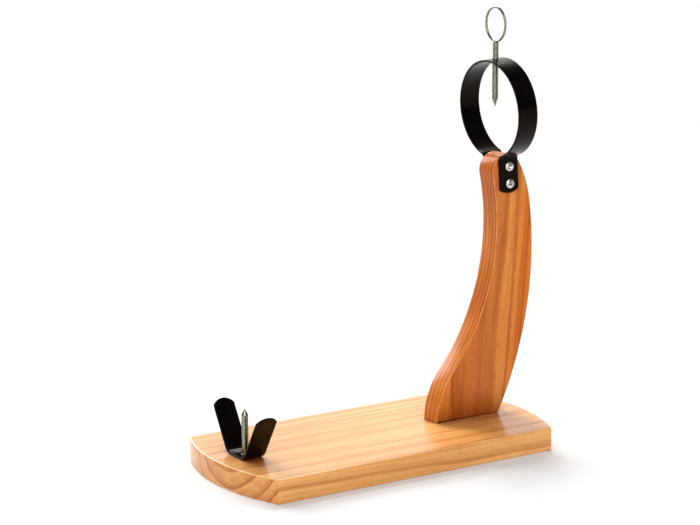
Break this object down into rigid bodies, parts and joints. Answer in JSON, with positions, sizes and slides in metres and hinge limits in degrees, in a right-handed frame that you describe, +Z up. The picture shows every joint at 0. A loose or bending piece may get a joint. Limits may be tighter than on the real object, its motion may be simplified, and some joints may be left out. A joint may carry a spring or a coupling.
{
  "type": "ham stand",
  "caption": "Wooden ham stand: bow-ended board, curved upright with a steel strap ring and eye clamp screw, and a spiked strap cradle near the front.",
  "frame": {"origin": "centre of the base board's underside, which is the surface the stand rests on", "axes": "+X from the spiked cradle towards the upright, +Y to the left of a person facing along +X, +Z up"},
  "size_m": [0.3842, 0.18, 0.4608],
  "materials": {
    "board_pine": "satin lacquer",
    "upright_pine": "satin lacquer",
    "dowel_beech": "bare",
    "black_strap": "gloss black",
    "bright_steel": "bright",
    "zinc_steel": "zinc plated"
  },
  "bodies": {
    "stand": {"base_board": "board_pine", "upright": "upright_pine", "ring_strap": "black_strap", "strap_screw_near_top": "bright_steel", "strap_screw_near_low": "bright_steel", "strap_screw_far_top": "bright_steel", "strap_screw_far_low": "bright_steel", "cradle": "black_strap", "spike": "bright_steel", "spike_washer": "zinc_steel", "spike_nut": "zinc_steel", "foot_screw_front": "zinc_steel", "foot_screw_rear": "zinc_steel", "foot_dowel_front": "dowel_beech", "foot_dowel_rear": "dowel_beech"},
    "clamp_screw": {"clamp_rod": "bright_steel"},
    "screw_eye": {"eye_ring": "bright_steel"}
  },
  "joints": [
    {"name": "clamp_travel", "type": "slide", "parent": "stand", "child": "clamp_screw", "axis": [0, 0, 1], "range_m": [-0.016, 0.034]},
    {"name": "clamp_turn", "type": "hinge", "parent": "clamp_screw", "child": "screw_eye", "pos_m": [0.155, 0, 0.4418], "axis": [0, 0, -1], "range_deg": [-12240, 5760]}
  ],
  "couplings": [
    {"joint": "clamp_turn", "follows": "clamp_travel", "rad_per_m": -6283.2}
  ]
}
